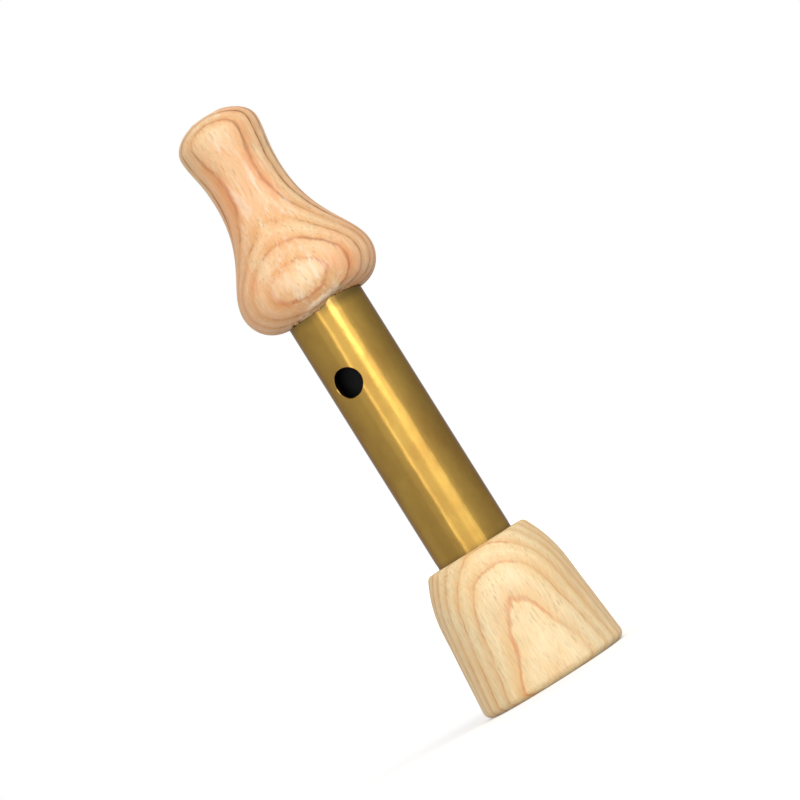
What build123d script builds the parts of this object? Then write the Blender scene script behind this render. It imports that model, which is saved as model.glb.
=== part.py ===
from build123d import *
import math
import os

# A mouth-blown bird call. Three outer pieces share one axis: an ash bell, a brass barrel with a tone
# hole, and an ash mouthpiece glued on the barrel's upper end. A reed insert stands on the bell, fills
# the barrel's lower end and lifts out with the bell. Millimetres. The call stands on the bell's rim,
# with its axis on +Z and the tone hole on the -Y side.

# Barrel: drawn brass tube
TUBE_OUTER_D = 16.0
TUBE_WALL = 1.0
TUBE_SHOWING = 53.8
TUBE_END_CHAMFER = 0.2
TONE_HOLE_D = 6.0
TONE_HOLE_DROP = 14.7
TONE_HOLE_CHAMFER = 0.12

# Bell: turned ash
BELL_HEIGHT = 29.0
BELL_BASE_D = 31.0
BELL_BASE_ROUND = 1.6
BELL_SHOULDER_D = 27.9
BELL_SHOULDER_HEIGHT = 18.3
BELL_TOP_D = 21.3
BELL_TOP_ROUND = 0.6
BELL_SOCKET_DEPTH = 12.0
BELL_SOCKET_PLAY = 0.08
BELL_MOUTH_D = 22.0
BELL_MOUTH_ROUND = 0.8
GLUE_GAP = 0.05

# Mouthpiece: turned ash. The reaches say how far the curve runs on past each widest or narrowest
# point before it turns.
MOUTHPIECE_LENGTH = 43.1
MOUTHPIECE_SOCKET_DEPTH = 12.0
SEAT_RIM = 0.3
BULB_D = 28.6
BULB_RISE = 6.3
BULB_REACH = 5.7
WAIST_D = 14.9
WAIST_RISE = 27.6
WAIST_REACH_DOWN = 12.0
WAIST_REACH_UP = 5.5
TIP_D = 17.0
TIP_DOME = 5.2
TIP_REACH = 3.2
WINDWAY_D = 6.0
FUNNEL_LENGTH = 6.0
LIP_ROUND = 0.6

# Insert: black hard rubber, with a plug in the bell, a collar in the barrel and a half-round board
PLUG_D = 11.9
PLUG_LENGTH = 8.0
COLLAR_PLAY = 0.1
COLLAR_LENGTH = 18.0
COLLAR_ROUND = 0.4
BOARD_D = 10.8
BOARD_LENGTH = 40.0
BOARD_TIP_ROUND = 1.5
BED_OFFSET = 0.8
FACE_SLOPE = 2.2
CHANNEL_D = 4.8
CHANNEL_WEB = 0.4
GROOVE_WIDTH = 4.0
GROOVE_START = 4.0
GROOVE_END_WALL = 5.0
EXHAUST_D = 9.0
EXHAUST_DEPTH = 6.5

# O-rings: squeezed a little by the barrel
RING_SECTION = 1.5
RING_PLAY = 0.02
RING_GROOVE_WIDTH = 1.9
LOWER_RING_HEIGHT = 2.8
UPPER_RING_HEIGHT = 7.0

# Reed: one strip of spring brass, parted where it bends. The wedge clamps its root.
REED_WIDTH = 8.5
REED_THICKNESS = 0.25
TONGUE_LENGTH = 37.0
TONGUE_TIP_ROUND = 2.0
FLEX_GAP = 0.05
POCKET_DEPTH = 8.0
WEDGE_WIDTH = 9.0
WEDGE_THICKNESS = 3.0
WEDGE_TAPER = 0.4
WEDGE_PROUD = 1.0
WEDGE_SIDE_PLAY = 0.05

# Radii and heights that follow from the sizes above
TUBE_R = TUBE_OUTER_D / 2
BORE_R = TUBE_R - TUBE_WALL
SOCKET_FLOOR = BELL_HEIGHT - BELL_SOCKET_DEPTH
SEAT = BELL_HEIGHT + TUBE_SHOWING
TUBE_TOP = SEAT + MOUTHPIECE_SOCKET_DEPTH
CALL_TOP = SEAT + MOUTHPIECE_LENGTH
COLLAR_R = BORE_R - COLLAR_PLAY
COLLAR_TOP = SOCKET_FLOOR + COLLAR_LENGTH
BOARD_TIP = COLLAR_TOP + BOARD_LENGTH
POCKET_FLOOR = COLLAR_TOP - POCKET_DEPTH
BEND = COLLAR_TOP + WEDGE_PROUD
RING_R = BORE_R - RING_PLAY - RING_SECTION / 2
CHANNEL_OFFSET = BED_OFFSET - CHANNEL_WEB - CHANNEL_D / 2


def turned(section):
    """Spin a half section, drawn as radius against height, about the call's axis."""
    return revolve(Plane.XZ * section, Axis.Z)


def rod(radius, low, high, offset=0.0):
    """A round bar between two heights, moved off the axis along Y where an offset is given."""
    disc = Plane.XY.offset(low) * Pos(0, offset) * Circle(radius)
    return extrude(disc, high - low)


def side_cut(width, *corners):
    """A prism across the call: corners drawn as Y against Z, as wide as given along X."""
    return extrude(Plane.YZ * make_face(Polyline(*corners, close=True)), width / 2, both=True)


def make_barrel_tube():
    tube = rod(TUBE_R, SOCKET_FLOOR, TUBE_TOP) - rod(BORE_R, SOCKET_FLOOR, TUBE_TOP)
    tube = chamfer(tube.edges().filter_by(GeomType.CIRCLE), TUBE_END_CHAMFER)
    hole_plane = Plane.XZ * Pos(0, SEAT - TONE_HOLE_DROP)
    tube -= extrude(hole_plane * Circle(TONE_HOLE_D / 2), TUBE_OUTER_D)
    rim = tube.edges().filter_by(GeomType.CIRCLE, reverse=True).filter_by(GeomType.LINE, reverse=True)
    outer_rim = rim.sort_by(Axis.Y)[0]
    return chamfer(outer_rim, TONE_HOLE_CHAMFER)


def make_bell():
    shoulder = Vector(BELL_SHOULDER_D / 2, BELL_SHOULDER_HEIGHT)
    base = Vector(BELL_BASE_D / 2, 0)
    top = Vector(BELL_TOP_D / 2, BELL_HEIGHT)
    socket_r = TUBE_R + BELL_SOCKET_PLAY
    plug_bore_r = PLUG_D / 2 + GLUE_GAP
    plug_end = SOCKET_FLOOR - PLUG_LENGTH
    mouth = Vector(BELL_MOUTH_D / 2, 0)
    inside = Polyline(
        top,
        (socket_r, BELL_HEIGHT),
        (socket_r, SOCKET_FLOOR),
        (plug_bore_r, SOCKET_FLOOR),
        (plug_bore_r, plug_end),
    )
    outline = [
        Line(mouth, base),
        Line(base, shoulder),
        TangentArc(shoulder, top, tangent=shoulder - base),
        *inside.edges(),
        TangentArc((plug_bore_r, plug_end), mouth, tangent=(0, -1)),
    ]
    section = make_face(outline)
    section = fillet(section.vertices().group_by(Axis.Y)[-1], BELL_TOP_ROUND)
    section = fillet(section.vertices().group_by(Axis.Y)[0].sort_by(Axis.X)[-1], BELL_BASE_ROUND)
    section = fillet(section.vertices().group_by(Axis.Y)[0].sort_by(Axis.X)[0], BELL_MOUTH_ROUND)
    return turned(section)


def make_mouthpiece():
    seat_r = TUBE_R + SEAT_RIM
    bulb_r = BULB_D / 2
    bulb = SEAT + BULB_RISE
    waist_r = WAIST_D / 2
    waist = SEAT + WAIST_RISE
    tip_r = TIP_D / 2
    tip = CALL_TOP - TIP_DOME
    outline = [
        Line((0, SEAT), (seat_r, SEAT)),
        EllipticalCenterArc((seat_r, bulb), bulb_r - seat_r, BULB_RISE, 270, arc_size=90),
        Bezier(
            (bulb_r, bulb),
            (bulb_r, bulb + BULB_REACH),
            (waist_r, waist - WAIST_REACH_DOWN),
            (waist_r, waist),
        ),
        Bezier(
            (waist_r, waist),
            (waist_r, waist + WAIST_REACH_UP),
            (tip_r, tip - TIP_REACH),
            (tip_r, tip),
        ),
        EllipticalCenterArc((0, tip), tip_r, TIP_DOME, 0, arc_size=90),
        Line((0, CALL_TOP), (0, SEAT)),
    ]
    socket_r = TUBE_R + GLUE_GAP
    windway_r = WINDWAY_D / 2
    air_path = Polyline(
        (0, SEAT),
        (socket_r, SEAT),
        (socket_r, TUBE_TOP),
        (BORE_R, TUBE_TOP),
        (windway_r, TUBE_TOP + FUNNEL_LENGTH),
        (windway_r, CALL_TOP),
        (0, CALL_TOP),
        close=True,
    )
    section = make_face(outline) - make_face(air_path)
    lip = section.vertices().group_by(Axis.Y)[-1]
    return turned(fillet(lip, LIP_ROUND))


def wedge_roof(height):
    """How far from the axis the wedge's sloping back lies at a height. It widens upwards."""
    slope = WEDGE_TAPER / POCKET_DEPTH
    return BED_OFFSET + REED_THICKNESS + WEDGE_THICKNESS - slope * (COLLAR_TOP - height)


def ring_groove(height):
    """The groove that an O-ring lies in, centred at a height above the socket's floor."""
    low = SOCKET_FLOOR + height - RING_GROOVE_WIDTH / 2
    high = low + RING_GROOVE_WIDTH
    return rod(BORE_R, low, high) - rod(RING_R - RING_SECTION / 2, low, high)


def make_tone_board():
    above = BOARD_TIP + BOARD_LENGTH
    face_at_top = BED_OFFSET - (above - BEND) * math.tan(math.radians(FACE_SLOPE))
    board = rod(BOARD_D / 2, SOCKET_FLOOR, BOARD_TIP)
    board = fillet(board.edges().group_by(Axis.Z)[-1], BOARD_TIP_ROUND)
    board -= side_cut(
        TUBE_OUTER_D,
        (BED_OFFSET, COLLAR_TOP),
        (BED_OFFSET, BEND),
        (face_at_top, above),
        (TUBE_OUTER_D, above),
        (TUBE_OUTER_D, COLLAR_TOP),
    )
    collar = rod(COLLAR_R, SOCKET_FLOOR, COLLAR_TOP)
    collar = fillet(collar.edges().group_by(Axis.Z)[-1], COLLAR_ROUND)
    plug_end = SOCKET_FLOOR - PLUG_LENGTH
    board += collar + rod(PLUG_D / 2, plug_end, SOCKET_FLOOR)
    board -= side_cut(
        WEDGE_WIDTH + 2 * WEDGE_SIDE_PLAY,
        (BED_OFFSET, POCKET_FLOOR),
        (BED_OFFSET, BEND),
        (wedge_roof(BEND), BEND),
        (wedge_roof(POCKET_FLOOR), POCKET_FLOOR),
    )
    channel_top = BOARD_TIP - GROOVE_END_WALL
    groove_low = BEND + GROOVE_START
    groove = SlotOverall(channel_top - groove_low, GROOVE_WIDTH, rotation=90)
    groove_plane = Plane.XZ.offset(-CHANNEL_OFFSET) * Pos(0, (channel_top + groove_low) / 2)
    board -= rod(CHANNEL_D / 2, plug_end, channel_top, CHANNEL_OFFSET)
    board -= extrude(groove_plane * groove, -BOARD_D)
    board -= rod(EXHAUST_D / 2, plug_end, plug_end + EXHAUST_DEPTH)
    return board - ring_groove(LOWER_RING_HEIGHT) - ring_groove(UPPER_RING_HEIGHT)


def make_o_ring(height):
    return turned(Pos(RING_R, SOCKET_FLOOR + height) * Circle(RING_SECTION / 2))


def make_reed_root():
    low = (BED_OFFSET, POCKET_FLOOR)
    high = (BED_OFFSET + REED_THICKNESS, BEND)
    return side_cut(REED_WIDTH, low, (low[0], high[1]), high, (high[0], low[1]))


def make_reed_tongue():
    low = BEND + FLEX_GAP
    blade = Pos(0, low + TONGUE_LENGTH / 2) * Rectangle(REED_WIDTH, TONGUE_LENGTH)
    blade = fillet(blade.vertices().group_by(Axis.Y)[-1], TONGUE_TIP_ROUND)
    return extrude(Plane.XZ.offset(-BED_OFFSET) * blade, -REED_THICKNESS)


def make_reed_wedge():
    front = BED_OFFSET + REED_THICKNESS
    return side_cut(
        WEDGE_WIDTH,
        (front, POCKET_FLOOR),
        (front, BEND),
        (wedge_roof(BEND), BEND),
        (wedge_roof(POCKET_FLOOR), POCKET_FLOOR),
    )


PIECES = {
    "mouthpiece": make_mouthpiece(),
    "barrel_tube": make_barrel_tube(),
    "bell": make_bell(),
    "tone_board": make_tone_board(),
    "lower_o_ring": make_o_ring(LOWER_RING_HEIGHT),
    "upper_o_ring": make_o_ring(UPPER_RING_HEIGHT),
    "reed_root": make_reed_root(),
    "reed_tongue": make_reed_tongue(),
    "reed_wedge": make_reed_wedge(),
}

os.makedirs("parts", exist_ok=True)
for name, piece in PIECES.items():
    export_step(piece, f"parts/{name}.step")
    print(name, "volume", round(piece.volume, 1), "mm3")
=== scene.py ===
# %% [markdown]
# A reed bird call: a turned ash mouthpiece and bell on a drawn brass tube. Inside the tube sits a black
# tone board with a brass reed, and it comes out with the bell when the call is pulled apart.
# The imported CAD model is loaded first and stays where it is. Every piece made below is placed in its
# frame, in metres, and rides on one of its bodies, so the looks follow the joints.

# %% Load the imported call
import math
from types import SimpleNamespace

import bpy
from mathutils import Matrix, Vector


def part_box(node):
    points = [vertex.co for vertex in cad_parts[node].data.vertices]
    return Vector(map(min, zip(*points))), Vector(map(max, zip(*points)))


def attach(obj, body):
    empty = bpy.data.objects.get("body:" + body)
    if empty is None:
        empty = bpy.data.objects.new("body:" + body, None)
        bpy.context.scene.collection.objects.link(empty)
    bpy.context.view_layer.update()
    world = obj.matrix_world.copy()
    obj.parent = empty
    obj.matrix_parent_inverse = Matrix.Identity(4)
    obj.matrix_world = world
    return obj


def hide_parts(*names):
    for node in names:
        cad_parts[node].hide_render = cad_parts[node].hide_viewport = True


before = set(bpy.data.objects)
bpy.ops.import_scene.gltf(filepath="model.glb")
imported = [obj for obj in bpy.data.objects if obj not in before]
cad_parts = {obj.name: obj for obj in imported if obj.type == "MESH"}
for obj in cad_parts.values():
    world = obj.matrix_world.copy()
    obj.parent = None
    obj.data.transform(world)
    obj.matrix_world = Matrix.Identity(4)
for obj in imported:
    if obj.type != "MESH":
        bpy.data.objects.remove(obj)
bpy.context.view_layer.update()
scene = bpy.context.scene
MM = 0.001

# %% [markdown]
# Colours are easiest to pick as sRGB hex codes, but shaders add light up in linear values, so one function
# turns the first into the second.

# %% Colours
def srgb(code):
    """A hex colour such as #C8A060 as the linear RGBA that shaders expect."""
    parts = [int(code[i:i + 2], 16) / 255 for i in (1, 3, 5)]
    linear = [c / 12.92 if c <= 0.04045 else ((c + 0.055) / 1.055) ** 2.4 for c in parts]
    return (*linear, 1.0)


print("half-bright grey in linear light:", round(srgb("#808080")[0], 3))

# %% [markdown]
# Materials and Geometry Nodes trees are both made of nodes. One small function adds any node with its
# settings and its links, so that a material reads as a list of what feeds what. Inputs are given in order
# or by name. Each is a value, a socket or a whole node, and of a node the first output in use is linked.

# %% Nodes
MATH, VECTOR, NOISE, BUMP = "ShaderNodeMath", "ShaderNodeVectorMath", "ShaderNodeTexNoise", "ShaderNodeBump"
RANGE = "ShaderNodeMapRange"  # its inputs in order are a value, two ends to bring from, and two to bring to
MIX = "ShaderNodeMix"
SHARE, UNDER, OVER = 0, 6, 7  # a Mix node's inputs when it lays one colour over another


def feed(tree, node, inputs):
    """Sets a node's inputs, each to a value or to the node or socket that feeds it."""
    by_key = inputs if isinstance(inputs, dict) else dict(enumerate(inputs))
    for key, value in by_key.items():
        if isinstance(value, bpy.types.Node):
            value = next(socket for socket in value.outputs if socket.enabled)
        if isinstance(value, bpy.types.NodeSocket):
            tree.links.new(value, node.inputs[key])
        else:
            node.inputs[key].default_value = value


def add(tree, kind, inputs=(), operation=None, stops=(), **settings):
    """Adds a node with its inputs and settings. Stops are a Color Ramp's positions and hex colours."""
    made = tree.nodes.new(kind)
    if operation:
        made.operation = operation
    for name, value in settings.items():
        setattr(made, name, value)
    for _ in stops[2:]:
        made.color_ramp.elements.new(1.0)
    for i, (position, code) in enumerate(stops):
        made.color_ramp.elements[i].position = position
        made.color_ramp.elements[i].color = srgb(code)
    feed(tree, made, inputs)
    return made


print("a Mix node's inputs:", SHARE, UNDER, OVER)

# %% [markdown]
# Directions round the call are told by an azimuth, in degrees from -Y towards +X. Two unit vectors follow
# from it, and how far a point lies along each gives its turn round the call's axis.

# %% Directions
def across_and_towards(azimuth):
    """Unit vectors to the right of and towards a viewer who stands at that azimuth."""
    a = math.radians(azimuth)
    return Vector((math.cos(a), math.sin(a), 0)), Vector((math.sin(a), -math.cos(a), 0))


def turn_from(tree, place, azimuth):
    """How far a point is turned round the axis from an azimuth, in radians."""
    right, towards = across_and_towards(azimuth)
    aside = add(tree, VECTOR, [place, right], "DOT_PRODUCT")
    ahead = add(tree, VECTOR, [place, towards], "DOT_PRODUCT")
    return add(tree, MATH, [aside, ahead], "ARCTAN2")


print("towards a viewer at 30 degrees:", [round(v, 3) for v in across_and_towards(30)[1]])

# %% [markdown]
# Every material starts the same way: a Principled shader, and Object coordinates counted in a unit. On the
# call that is the millimetre, so that each pattern's scale is one over a real size. Wood fibres, the lines on
# drawn metal and file marks all run along the call, so one helper draws noise that is stretched along Z.

# %% Start of a material
def new_material(name, unit=MM):
    """A new material with its tree, its shader and its Object coordinates, counted in a unit."""
    made = bpy.data.materials.new(name)
    made.use_nodes = True
    tree = made.node_tree
    spot = add(tree, "ShaderNodeTexCoord").outputs["Object"]
    place = add(tree, VECTOR, [spot, (1 / unit,) * 3], "MULTIPLY")
    return made, tree, tree.nodes["Principled BSDF"], place


def streaks(tree, place, width, length, detail=3.0, roughness=0.6, seed=None):
    """Noise with streaks of that width and length in mm along Z. With a seed, a piece gets its own."""
    squeezed = add(tree, VECTOR, [place, (1 / width, 1 / width, 1 / length)], "MULTIPLY")
    inputs = {"Vector": squeezed, "Scale": 1.0, "Detail": detail, "Roughness": roughness}
    if seed is None:
        return add(tree, NOISE, inputs)
    return add(tree, NOISE, {**inputs, "W": seed}, noise_dimensions="4D")


print("millimetres in one of Blender's units:", 1 / MM)

# %% [markdown]
# Ash is ring-porous: each year leaves a layer of open pores and then a dense darker line. A turned piece
# cuts those layers at every angle, which draws the ovals on the bulb and the arches on the bell. An image
# could only wrap round the outside, so the rings are worked out in space instead. A Mapping node puts the
# tree's pith on its own Z axis, well behind the piece, and the distance from that axis counts the years.
# The end grain at the lip and the rim then follows by itself. How a piece was cut from its board is told
# by a few numbers, which each board gives further down.

# %% Years of growth
WANDER_SIZE = 14.0  # mm, how far apart the layers' slow bends are
FRAY_WIDTH, FRAY_LENGTH = 1.0, 2.8  # mm, how finely a layer's edge is frayed
LONGER = 1.6  # how much further slow changes reach along the grain


def beyond_first_line(tree, place, cut):
    """How far outside a piece's first line a point lies, in mm, with the layers bent and frayed."""
    wander = streaks(tree, place, WANDER_SIZE, WANDER_SIZE * LONGER, seed=cut.seed)
    fray = streaks(tree, place, FRAY_WIDTH, FRAY_LENGTH, seed=cut.seed)
    tilt = (math.radians(cut.lean), 0, math.radians(-cut.facing))
    turned = add(tree, "ShaderNodeMapping", {"Vector": place, "Location": (0, -cut.pith, 0),
                                             "Rotation": tilt})
    level = add(tree, VECTOR, [turned, (1, 1, 0)], "MULTIPLY")
    from_pith = add(tree, VECTOR, [level], "LENGTH")
    bent = add(tree, MATH, [wander, cut.wander_depth, from_pith], "MULTIPLY_ADD")
    frayed = add(tree, MATH, [fray, cut.fray_depth, bent], "MULTIPLY_ADD")
    noise_mean = (cut.wander_depth + cut.fray_depth) / 2
    return add(tree, MATH, [frayed, cut.pith + cut.first_line + noise_mean], "SUBTRACT")


print("layers bend every", WANDER_SIZE, "mm and fray over", FRAY_LENGTH, "mm")

# %% [markdown]
# No line is drawn evenly. Some years are stronger than others, a line fades and comes back along its way,
# and on one side of each piece the lines are nearly sanded off. The side and the slow fade add up to one
# share from 0 to 1, the year gives another, and the two are multiplied.

# %% Lines of late wood
FADE_SIZE = 7.0  # mm, stretches where a line is strong or nearly gone
BARE_SIDE, DRAWN_SIDE = -14.0, -4.0  # mm sideways, between which the lines come back
BARE_LOSS, DRAWN_GAIN = -0.28, 0.05  # what each side adds to the fade
YEAR_CUT, WEAKEST_YEAR = (0.0, 0.7), 0.6
FADE_CUT = 0.44, 0.58  # a cut is where, in a noise's values, a mark starts and where it is full
SHARP_SHARE = 0.2  # of a line's half width, which is drawn in full


def late_lines(tree, place, beyond, counted, sideways, cut):
    """How strongly a line is drawn: by its year, by a slow fade, and by the side of the piece."""
    nearest = add(tree, MATH, [counted], "ROUND")
    own = add(tree, MATH, [nearest, cut.seed], "ADD")
    of_year = add(tree, "ShaderNodeTexWhiteNoise", {"W": own}, noise_dimensions="1D")
    strong_year = add(tree, RANGE, [of_year, *YEAR_CUT, WEAKEST_YEAR])
    fade = streaks(tree, place, FADE_SIZE, FADE_SIZE * LONGER, seed=cut.seed)
    by_side = add(tree, RANGE, [sideways, BARE_SIDE, DRAWN_SIDE, BARE_LOSS, DRAWN_GAIN])
    kept = add(tree, MATH, [fade, by_side], "ADD")
    strong_here = add(tree, RANGE, [kept, *FADE_CUT, cut.faintest])
    strength = add(tree, MATH, [strong_here, strong_year], "MULTIPLY")
    to_line = add(tree, MATH, [beyond, cut.spacing / 2], "PINGPONG")
    line = add(tree, RANGE, [to_line, cut.line_width, cut.line_width * SHARP_SHARE])
    return add(tree, MATH, [line, strength], "MULTIPLY")


print("lines fade over", FADE_SIZE, "mm")

# %% [markdown]
# Within a year the wood goes from pale to a warmer late wood, which a Color Ramp gives from the year's
# fraction. Further in, towards the pith, everything is a little deeper, and there the lines turn from orange
# to brown at both sides of the piece. The pith lies behind each piece, so this deepening falls on both sides
# of it as the viewer sees it, darker and warmer there: partly heartwood, partly painted shade.

# %% Colour of the rings
# painted shade in part: the deepening towards the pith lands on both sides of each piece
HEART_REACH, HEART_AND_SHADE_SHARE = 8.0, 0.25  # mm inwards over which the wood deepens, and by how much
MIDDLE, MIDDLE_BROWN = -1.0, 0.2  # mm sideways where the lines stay orange, and their share of brown
ORANGE_HALF, BROWN_HALF = 3.0, 5.5  # mm to either side of it, between which they turn


def ring_colour(tree, beyond, counted, drawn, sideways, colours):
    """The pale and late wood of each year, and its line, deeper towards the pith, which is partly painted
    shade at the sides.
    """
    year = add(tree, MATH, [counted], "FRACT")
    body = add(tree, "ShaderNodeValToRGB", [year], stops=[
        (0.0, colours.body), (0.45, colours.pale), (0.95, colours.late), (1.0, colours.body)])
    heart_and_side_shade = add(tree, RANGE, [beyond, 0.0, -HEART_REACH])
    past_middle = add(tree, MATH, [sideways, MIDDLE], "SUBTRACT")
    off_middle = add(tree, MATH, [past_middle], "ABSOLUTE")
    aside = add(tree, RANGE, [off_middle, ORANGE_HALF, BROWN_HALF, MIDDLE_BROWN])
    browned = add(tree, MATH, [heart_and_side_shade, aside], "MULTIPLY")
    line = add(tree, MIX, {SHARE: browned, UNDER: srgb(colours.line), OVER: srgb(colours.inner_line)},
               data_type="RGBA")
    ringed = add(tree, MIX, {SHARE: drawn, UNDER: body, OVER: line}, data_type="RGBA")
    # painted shade in part: darker and warmer towards the pith, which is towards both sides of each piece
    deeper_and_side_shaded = add(tree, MIX, {SHARE: HEART_AND_SHADE_SHARE, UNDER: ringed, OVER: srgb(colours.heart)},
                 data_type="RGBA", blend_type="MULTIPLY")
    return add(tree, MIX, {SHARE: heart_and_side_shade, UNDER: ringed, OVER: deeper_and_side_shaded}, data_type="RGBA")


print("the heart deepens over", HEART_REACH, "mm")

# %% [markdown]
# Sanding leaves the rest: fibres that run along the grain, pale flecks, and open pores as short dark dashes,
# most of them in the lines. Patches of the wood blush warmer. The pale flecks are gathered into the strip of
# each piece that faces the viewer, and the one opposite, and thin out to either side. So they are partly the
# wood's own flecks and partly a painted highlight down its front.

# %% Blushes, flecks and fibres
MARKS = {  # mm wide, mm long, and the noise's detail
    "blush": (6.0, 14.0, 3.0),
    "fleck": (1.5, 6.0, 3.0),
    "fibre": (0.3, 5.0, 2.0),  # drawn a little coarse, so that it shows
    "pore": (0.35, 2.2, 1.0),  # drawn a little coarse too
}
# painted highlight in part: the pale flecks are full within this many mm of the middle strip and few beyond
HIGHLIT_FULL, HIGHLIT_EDGE = 2.0, 8.0  # mm sideways, between which the flecks thin out
OFF_HIGHLIT = 0.1  # the share of them that is left there
BLUSH_CUT, FLECK_CUT, FIBRE_CUT = (0.38, 0.66), (0.5, 0.68), (0.3, 0.7)
BLUSH_MOST = 0.9
FIBRE_DARK, FIBRE_LIGHT = 0.89, 1.06  # times the wood's own brightness


def sanded(tree, marks, rings, sideways, colours, cut):
    """Blushes, flecks and fibres over the rings, with the flecks gathered into a painted highlight down the
    middle.
    """
    warm = add(tree, MIX, {SHARE: 1.0, UNDER: rings, OVER: srgb(colours.blush)},
               data_type="RGBA", blend_type="MULTIPLY")
    blush = add(tree, RANGE, [marks["blush"], *BLUSH_CUT, 0.0, BLUSH_MOST])
    blushed = add(tree, MIX, {SHARE: blush, UNDER: rings, OVER: warm}, data_type="RGBA")
    off_highlit_strip = add(tree, MATH, [sideways], "ABSOLUTE")
    # painted highlight in part: the flecks are kept mostly to the strip that faces the viewer
    highlit_strip = add(tree, RANGE, [off_highlit_strip, HIGHLIT_EDGE, HIGHLIT_FULL, OFF_HIGHLIT, cut.flecked_share])
    fleck = add(tree, RANGE, [marks["fleck"], *FLECK_CUT])
    flecks_and_highlight = add(tree, MATH, [fleck, highlit_strip], "MULTIPLY")
    flecked = add(tree, MIX, {SHARE: flecks_and_highlight, UNDER: blushed, OVER: srgb(colours.fleck)}, data_type="RGBA")
    shade = add(tree, RANGE, [marks["fibre"], *FIBRE_CUT, FIBRE_DARK, FIBRE_LIGHT])
    return add(tree, VECTOR, {0: flecked, "Scale": shade}, "SCALE")


print("marks of sanding:", ", ".join(MARKS))

# %% Open pores
PORE_CUT, CLUSTER_CUT = (0.57, 0.72), (0.4, 0.6)
PORES_IN_LINES = 0.12  # how much likelier a pore is in a line
MOST_PORES, FEWEST_PORES = 0.5, 0.15  # how dark they are in pale wood, and in a blush


def pored(tree, marks, wood, drawn, colours):
    """The wood with its pores cut open, and how open it is at a point."""
    likely = add(tree, MATH, [drawn, PORES_IN_LINES, marks["pore"]], "MULTIPLY_ADD")
    pore = add(tree, RANGE, [likely, *PORE_CUT])
    clusters = add(tree, RANGE, [marks["blush"], *CLUSTER_CUT, MOST_PORES, FEWEST_PORES])
    dark = add(tree, MATH, [pore, clusters], "MULTIPLY")
    return add(tree, MIX, {SHARE: dark, UNDER: wood, OVER: srgb(colours.pore)}, data_type="RGBA"), pore


print("pores are, mm:", MARKS["pore"][:2])

# %% [markdown]
# The finish puts these together. Sanded ash has a satin skin, and its gloss follows the fibres. A Bump node
# raises the flecks and sinks the pores, because moving the surface itself would take far more faces for
# marks so fine. Wood that is torn, or hidden by dried glue, is read from an attribute that the lathe stores.

# %% Turned ash
ASH_IOR = 1.5
ASH_SMOOTHEST, ASH_ROUGHEST = 0.4, 0.6
TORN_SHARE = 0.75  # how far torn wood and dried glue hide the grain
FLECK_RISE, PORE_RISE = 1.6, -0.8  # against the fibres' own relief
RELIEF_DEPTH, RELIEF_STRENGTH = 0.09 * MM, 0.7


def turned_ash(name, colours, cut):
    """Sanded ash: a satin skin over rings that follow the tree, with fibres and pores that can be felt."""
    made, tree, shader, place = new_material(name)
    beyond = beyond_first_line(tree, place, cut)
    counted = add(tree, MATH, [beyond, cut.spacing], "DIVIDE")
    sideways = add(tree, VECTOR, [place, across_and_towards(cut.dark_side)[1]], "DOT_PRODUCT")
    drawn = late_lines(tree, place, beyond, counted, sideways, cut)
    rings = ring_colour(tree, beyond, counted, drawn, sideways, colours)
    marks = {mark: streaks(tree, place, *size, seed=cut.seed) for mark, size in MARKS.items()}
    wood, pore = pored(tree, marks, sanded(tree, marks, rings, sideways, colours, cut), drawn, colours)
    torn = add(tree, "ShaderNodeAttribute", attribute_name="torn").outputs["Fac"]
    hidden = add(tree, MATH, [torn, TORN_SHARE], "MULTIPLY")
    coloured = add(tree, MIX, {SHARE: hidden, UNDER: wood, OVER: srgb(colours.torn)}, data_type="RGBA")
    gloss = add(tree, RANGE, [marks["fibre"], 0.0, 1.0, ASH_SMOOTHEST, ASH_ROUGHEST])
    pitted = add(tree, MATH, [pore, PORE_RISE, marks["fibre"]], "MULTIPLY_ADD")
    raised = add(tree, MATH, [marks["fleck"], FLECK_RISE, pitted], "MULTIPLY_ADD")
    relief = add(tree, BUMP, {"Height": raised, "Distance": RELIEF_DEPTH, "Strength": RELIEF_STRENGTH})
    feed(tree, shader, {"Base Color": coloured, "Roughness": gloss, "Normal": relief, "IOR": ASH_IOR})
    return made


print("relief of the grain, mm:", round(RELIEF_DEPTH / MM, 2))

# %% [markdown]
# The two pieces come from different boards, the mouthpiece's warmer and the bell's paler. facing is the
# azimuth that a piece's layers face, and lean their slope along the grain in degrees. pith is how far behind
# the axis the tree's heart was, and first_line how far before the axis one line lies. faintest is how weak a
# line can get, and dark_side the azimuth towards which they get stronger. Lengths are in millimetres.

# %% The two boards of ash
ash_mouthpiece = turned_ash(
    "ash_sanded_warm",
    SimpleNamespace(line="#DF9C6C", inner_line="#9A5F30", pale="#F7D7A7", body="#EFC38C", late="#EAB87B",
                    heart="#EEC79E", blush="#FFDCCA", fleck="#FFF0D6", pore="#B97E4C", torn="#FCE2C0"),
    SimpleNamespace(facing=22.0, lean=-2.3, pith=70.0, first_line=10.1, spacing=2.5, line_width=0.28,
                    wander_depth=1.5, fray_depth=0.75, faintest=0.05, dark_side=119.0, flecked_share=0.5,
                    seed=6.5))
ash_bell = turned_ash(
    "ash_sanded_pale",
    SimpleNamespace(line="#E6A673", inner_line="#D89D66", pale="#F9E2B4", body="#F2D5A0", late="#EEC991",
                    heart="#F4DCB8", blush="#FFEFD8", fleck="#FBECCB", pore="#C99A62", torn="#FCE2C0"),
    SimpleNamespace(facing=32.0, lean=-2.9, pith=90.0, first_line=13.6, spacing=2.1, line_width=0.16,
                    wander_depth=2.2, fray_depth=0.4, faintest=0.35, dark_side=299.0, flecked_share=0.2,
                    seed=3.9))
print("ash finishes:", ash_mouthpiece.name, ash_bell.name)

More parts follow.
